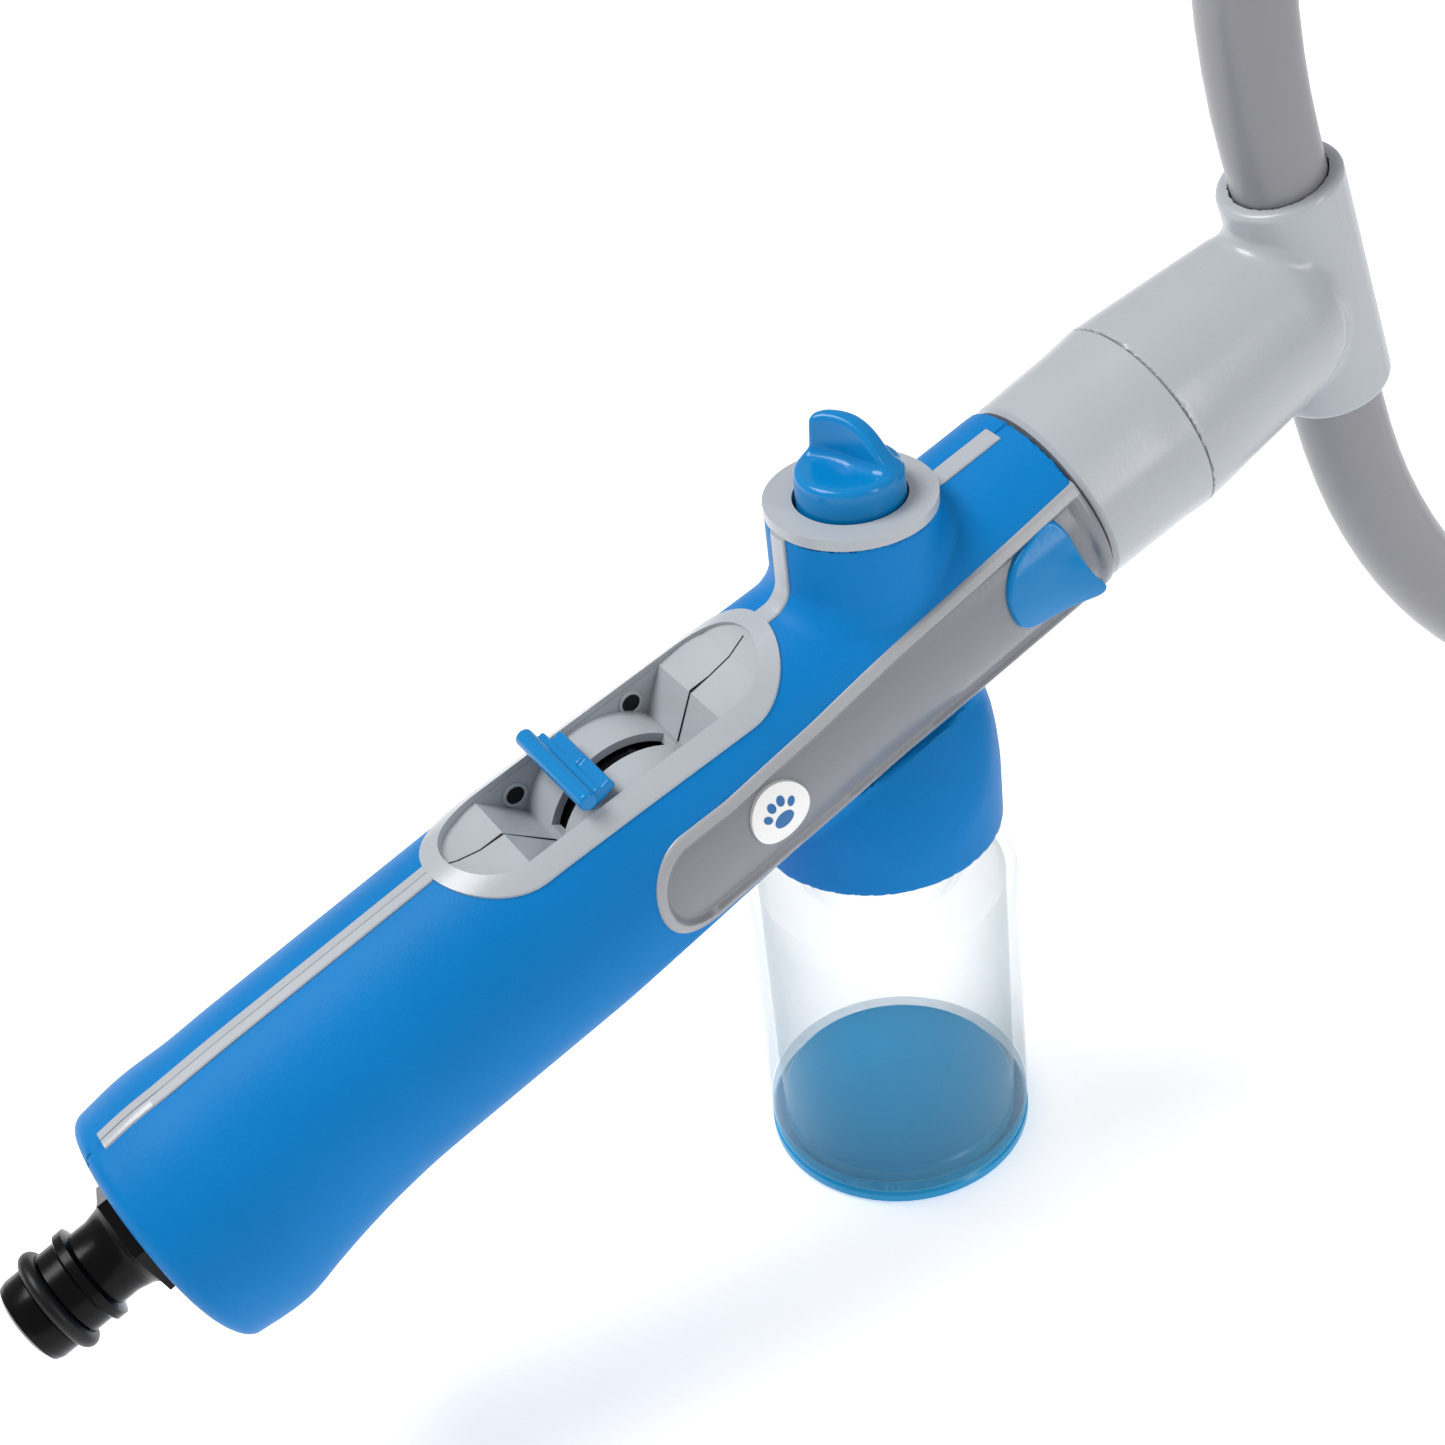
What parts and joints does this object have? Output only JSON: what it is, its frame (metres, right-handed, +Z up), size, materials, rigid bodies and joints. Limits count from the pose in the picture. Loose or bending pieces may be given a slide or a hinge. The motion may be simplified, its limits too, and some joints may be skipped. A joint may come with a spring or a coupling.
{
  "type": "handheld bath sprayer",
  "caption": "Handheld bath sprayer for washing pets: round handle with a thumb lever, selector knob, soap bottle below and a large round spray hoop on its end.",
  "frame": {"origin": "on the floor, at the centre of the soap bottle's base", "axes": "+Z up along the bottle and the selector knob; +X towards the spray hoop, in the plane that holds the handle and the hoop; +Y to the left of the handle"},
  "size_m": [0.6503, 0.053, 0.4194],
  "materials": {
    "grip": "soft satin moulding",
    "shell": "fine matte moulding",
    "panel": "fine grain moulding",
    "blue": "smooth moulding",
    "fitting": "black moulding",
    "clear": "clear moulding",
    "seal": "smooth rubber",
    "steel": "plain steel",
    "tube": "smooth tube",
    "badge": "printed film"
  },
  "bodies": {
    "handle": {"left_shell": "shell", "right_shell": "shell", "left_grip": "grip", "right_grip": "grip", "left_side_panel": "panel", "right_side_panel": "panel", "side_badge": "badge", "shell_screws": "steel", "hose_adaptor": "fitting", "adaptor_o_ring": "seal", "adaptor_washer": "seal", "inlet_tube": "shell", "valve_body": "shell", "flow_tube": "shell", "mixing_chamber": "shell", "knob_bezel": "shell", "pickup_valve_ball": "steel", "bottle_dome": "blue", "neck_gasket": "seal", "outlet_spigot": "shell", "spigot_o_rings": "seal", "left_button_spring": "steel", "right_button_spring": "steel"},
    "lever": {"valve_rotor": "steel", "rotor_o_rings": "seal", "lever_yoke": "fitting", "thumb_lever": "blue"},
    "knob": {"selector_spindle": "fitting", "spindle_o_rings": "seal", "selector_knob": "blue"},
    "bottle": {"bottle": "clear", "base_seal": "clear", "bottle_base": "blue"},
    "hoop": {"collar": "shell", "tee_body": "shell", "tube_o_rings": "seal", "hoop_tube": "tube", "spray_nozzles": "shell"},
    "left_button": {"left_release_button": "blue"},
    "right_button": {"right_release_button": "blue"}
  },
  "joints": [
    {"name": "lever_hinge", "type": "hinge", "parent": "handle", "child": "lever", "pos_m": [-0.04924, 0, 0.10382], "axis": [0, 1, 0], "range_deg": [-6, 40]},
    {"name": "knob_turn", "type": "hinge", "parent": "handle", "child": "knob", "pos_m": [0, 0, 0.15], "axis": [0, 0, 1], "range_deg": [0, 90]},
    {"name": "bottle_twist", "type": "hinge", "parent": "handle", "child": "bottle", "pos_m": [0, 0, 0.08], "axis": [0, 0, 1], "range_deg": [-60, 0]},
    {"name": "hoop_swivel", "type": "hinge", "parent": "handle", "child": "hoop", "pos_m": [0.0568, 0, 0.13834], "axis": [0.9466, 0, 0.3223], "continuous": true},
    {"name": "left_button_press", "type": "slide", "parent": "handle", "child": "left_button", "axis": [0, -1, 0], "range_m": [0, 0.0024], "stiffness_N_per_m": 900, "springref_m": -0.001, "deforming": ["left_button_spring"]},
    {"name": "right_button_press", "type": "slide", "parent": "handle", "child": "right_button", "axis": [0, 1, 0], "range_m": [0, 0.0024], "stiffness_N_per_m": 900, "springref_m": -0.001, "deforming": ["right_button_spring"]}
  ]
}
